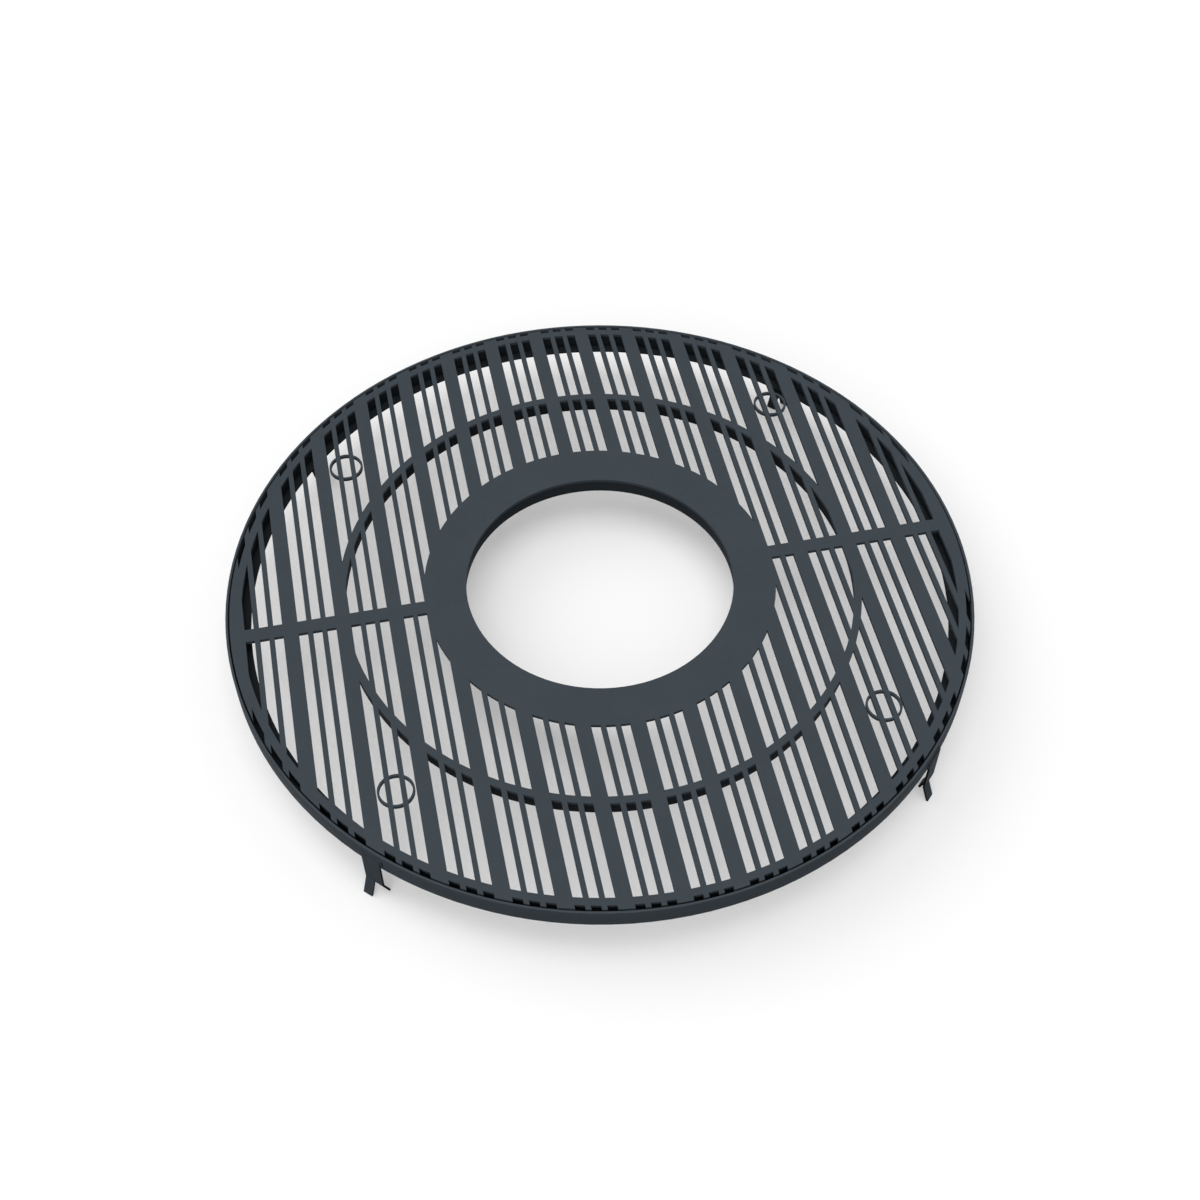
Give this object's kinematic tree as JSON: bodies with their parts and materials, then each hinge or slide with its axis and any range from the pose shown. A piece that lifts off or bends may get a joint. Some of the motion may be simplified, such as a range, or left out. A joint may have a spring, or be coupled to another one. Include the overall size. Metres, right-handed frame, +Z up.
{
  "type": "tree grate",
  "caption": "Round slotted steel tree grate, split across its middle round an open tree hole, lying flush in a flat-bar ring frame with split-tail anchors for setting in a paving bed.",
  "frame": {"origin": "on the ground under the middle of the tree opening, level with the anchor tips", "axes": "+Z up, out of the walking surface; the slots run along Y; the joint between the two halves lies along X; -Y is the front, the side nearest in the picture"},
  "size_m": [1.4998, 1.4998, 0.141],
  "materials": {
    "grate_paint": "anthracite coating, satin, slightly pebbled",
    "frame_paint": "anthracite coating, satin, slightly pebbled"
  },
  "bodies": {
    "frame": {"frame_band": "frame_paint", "seat_ring": "frame_paint", "anchor_front_left": "frame_paint", "anchor_front_right": "frame_paint", "anchor_rear_left": "frame_paint", "anchor_rear_right": "frame_paint"},
    "front_grate": {"front_plate": "grate_paint", "front_collar_rib": "grate_paint", "front_middle_rib": "grate_paint", "front_rim_rib": "grate_paint"},
    "rear_grate": {"rear_plate": "grate_paint", "rear_collar_rib": "grate_paint", "rear_middle_rib": "grate_paint", "rear_rim_rib": "grate_paint"}
  },
  "joints": [
    {"name": "front_grate_lift", "type": "slide", "parent": "frame", "child": "front_grate", "axis": [0, 0, 1], "range_m": [0, 0.15]},
    {"name": "rear_grate_lift", "type": "slide", "parent": "frame", "child": "rear_grate", "axis": [0, 0, 1], "range_m": [0, 0.15]}
  ]
}
